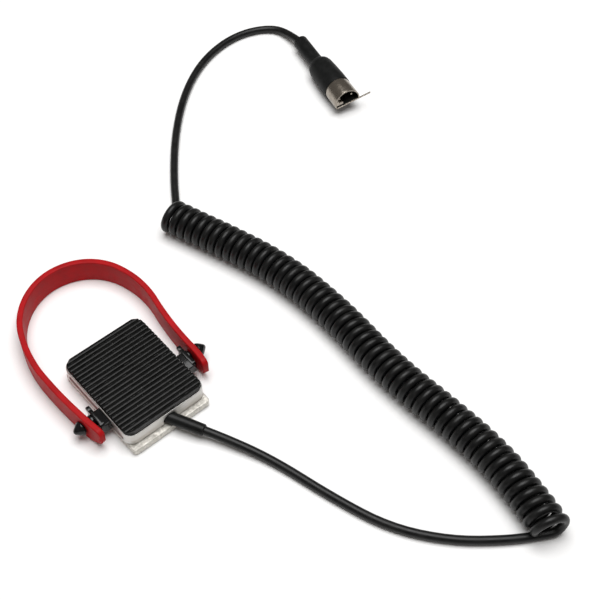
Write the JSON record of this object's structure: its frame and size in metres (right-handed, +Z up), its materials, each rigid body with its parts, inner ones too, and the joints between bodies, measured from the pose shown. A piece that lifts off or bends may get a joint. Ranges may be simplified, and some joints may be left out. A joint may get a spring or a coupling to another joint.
{
  "type": "esd wrist strap",
  "caption": "Wrist contact with a ribbed rubber pad in a small cast housing, a red elastomer loop on barbed studs, and a curly cord to a round metal-shell plug.",
  "frame": {"origin": "centre of the base plate's underside, 1.2 mm in front of the pad's middle", "axes": "+X along the common axis of the two strap studs, +Y from the cord outlet towards the strap's far end, +Z up"},
  "size_m": [0.2224, 0.3026, 0.0157],
  "materials": {
    "cast_cover": "satin cast, fine grain",
    "cast_base": "rough sand-cast, lightly painted",
    "pad_rubber": "ribbed conductive rubber, dusty",
    "gasket_rubber": "matte",
    "contact_steel": "cold-rolled sheet",
    "zinc_steel": "zinc plated",
    "brass": "turned",
    "board": "glass-epoxy laminate",
    "resistor_body": "lacquered",
    "terminal_plastic": "moulded nylon",
    "insulating_nylon": "moulded nylon",
    "stud_plastic": "glossy moulded",
    "strap_elastomer": "smooth satin elastomer",
    "cord_jacket": "satin jacket",
    "sleeve_rubber": "moulded, slightly glossy",
    "lead_red": "insulated wire",
    "lead_white": "insulated wire",
    "boot_plastic": "matte moulded",
    "nickel": "nickel plated, slightly tarnished",
    "insulator_black": "moulded"
  },
  "bodies": {
    "housing": {"base_plate": "cast_base", "seam_gasket": "gasket_rubber", "cover": "cast_cover", "contact_pad": "pad_rubber", "contact_plate": "contact_steel", "insulating_bush": "insulating_nylon", "contact_rivet": "brass", "contact_spring": "brass", "circuit_board": "board", "resistor_a": "resistor_body", "resistor_b": "resistor_body", "terminal_block": "terminal_plastic", "terminal_screws": "zinc_steel", "board_screws": "zinc_steel", "cover_screws": "zinc_steel", "strain_relief": "sleeve_rubber", "cord_stub": "cord_jacket", "inner_lead_a": "lead_red", "inner_lead_b": "lead_white", "left_anchor_block": "stud_plastic", "right_anchor_block": "stud_plastic", "left_stud": "stud_plastic", "right_stud": "stud_plastic", "stud_nuts": "zinc_steel", "anchor_screws": "zinc_steel", "cord_near": "cord_jacket", "cord_coil": "cord_jacket", "cord_far": "cord_jacket", "plug_boot": "boot_plastic", "plug_shell": "nickel", "plug_insulator": "insulator_black", "plug_pins": "nickel", "plug_cord_stub": "cord_jacket", "plug_ferrule": "nickel", "ground_strip": "nickel"},
    "strap": {"strap": "strap_elastomer"}
  },
  "joints": [
    {"name": "strap_swing", "type": "hinge", "parent": "housing", "child": "strap", "pos_m": [0, -0.0034, 0.0061], "axis": [1, 0, 0], "range_deg": [0, 165]}
  ]
}
